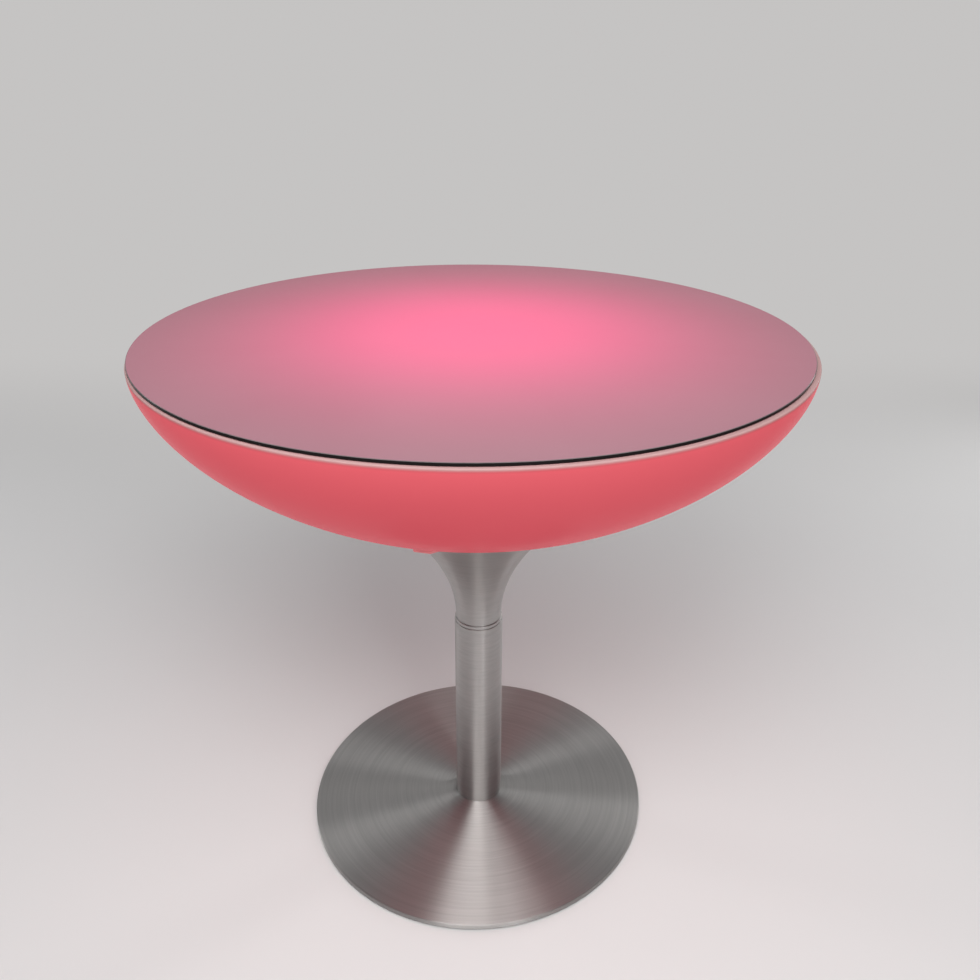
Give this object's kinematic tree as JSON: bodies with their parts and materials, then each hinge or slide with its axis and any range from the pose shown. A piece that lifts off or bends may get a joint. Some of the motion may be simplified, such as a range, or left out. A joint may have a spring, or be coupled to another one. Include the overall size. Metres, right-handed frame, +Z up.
{
  "type": "light up led table",
  "caption": "Round lounge table with a lit translucent bowl under a loose satin glass top, on a flared metal neck, tube and flat round base.",
  "frame": {"origin": "middle of the footprint, on the floor", "axes": "+Z up along the column; -Y is the front, the side that the picture shows and where the control pod is"},
  "size_m": [0.84, 0.84, 0.75],
  "materials": {
    "satin_glass": "satin-etched clear glass, lit pink from below, with a fine ground edge",
    "clear_silicone": "clear, slightly frosted silicone",
    "lit_bowl": "smooth glossy translucent plastic, lit coral from inside, cream where it isn't lit",
    "spun_aluminium": "satin aluminium with fine marks round the axis",
    "brushed_cover": "stainless sheet brushed in circles",
    "steel": "zinc-plated steel",
    "floor_rubber": "matte black rubber",
    "cream_plastic": "matte cream plastic",
    "opal_plastic": "satin opal plastic",
    "white_board": "white solder mask on an aluminium board",
    "green_board": "green solder mask",
    "emitter": "lit emitter under clear resin",
    "sensor_black": "dark glossy resin",
    "battery_wrap": "shrink wrap",
    "cable_black": "matte black sheath"
  },
  "bodies": {
    "table": {"glass_pad_1": "clear_silicone", "glass_pad_2": "clear_silicone", "glass_pad_3": "clear_silicone", "glass_pad_4": "clear_silicone", "glass_pad_5": "clear_silicone", "glass_pad_6": "clear_silicone", "bowl_shell": "lit_bowl", "flared_neck": "spun_aluminium", "column_tube": "spun_aluminium", "coupling_ring": "spun_aluminium", "base_cover": "brushed_cover", "tie_rod": "steel", "rod_nut": "steel", "rod_washer": "steel", "clamp_plate": "steel", "base_hub": "steel", "base_weight": "steel", "hinge_pin": "steel", "charging_socket": "steel", "base_screw_1": "steel", "base_screw_2": "steel", "base_screw_3": "steel", "base_screw_4": "steel", "board_screw_1": "steel", "board_screw_2": "steel", "board_screw_3": "steel", "module_screw_1": "steel", "module_screw_2": "steel", "module_screw_3": "steel", "module_screw_4": "steel", "pod_screw_1": "steel", "pod_screw_2": "steel", "floor_pad": "floor_rubber", "module_tray": "cream_plastic", "pod_housing": "cream_plastic", "pod_retainer": "cream_plastic", "cable_clip": "cream_plastic", "diffuser_dome": "opal_plastic", "led_board": "white_board", "control_board": "green_board", "led_emitter_1": "emitter", "led_emitter_2": "emitter", "led_emitter_3": "emitter", "led_emitter_4": "emitter", "led_emitter_5": "emitter", "led_emitter_6": "emitter", "led_emitter_7": "emitter", "led_emitter_8": "emitter", "remote_sensor": "sensor_black", "battery_left": "battery_wrap", "battery_right": "battery_wrap", "pod_cable": "cable_black", "battery_lead_left": "cable_black", "battery_lead_right": "cable_black", "led_lead": "cable_black"},
    "glass": {"glass_top": "satin_glass"},
    "button": {"power_button": "floor_rubber"},
    "flap": {"socket_flap": "floor_rubber"}
  },
  "joints": [
    {"name": "glass_lift", "type": "slide", "parent": "table", "child": "glass", "axis": [0, 0, 1], "range_m": [0, 0.12]},
    {"name": "power_button_press", "type": "slide", "parent": "table", "child": "button", "axis": [0.107, 0.3992, 0.9106], "range_m": [0, 0.0015], "stiffness_N_per_m": 900},
    {"name": "socket_flap_hinge", "type": "hinge", "parent": "table", "child": "flap", "pos_m": [-0.0607, -0.22653, 0.55731], "axis": [-0.9659, 0.2588, 0], "range_deg": [0, 90]}
  ]
}
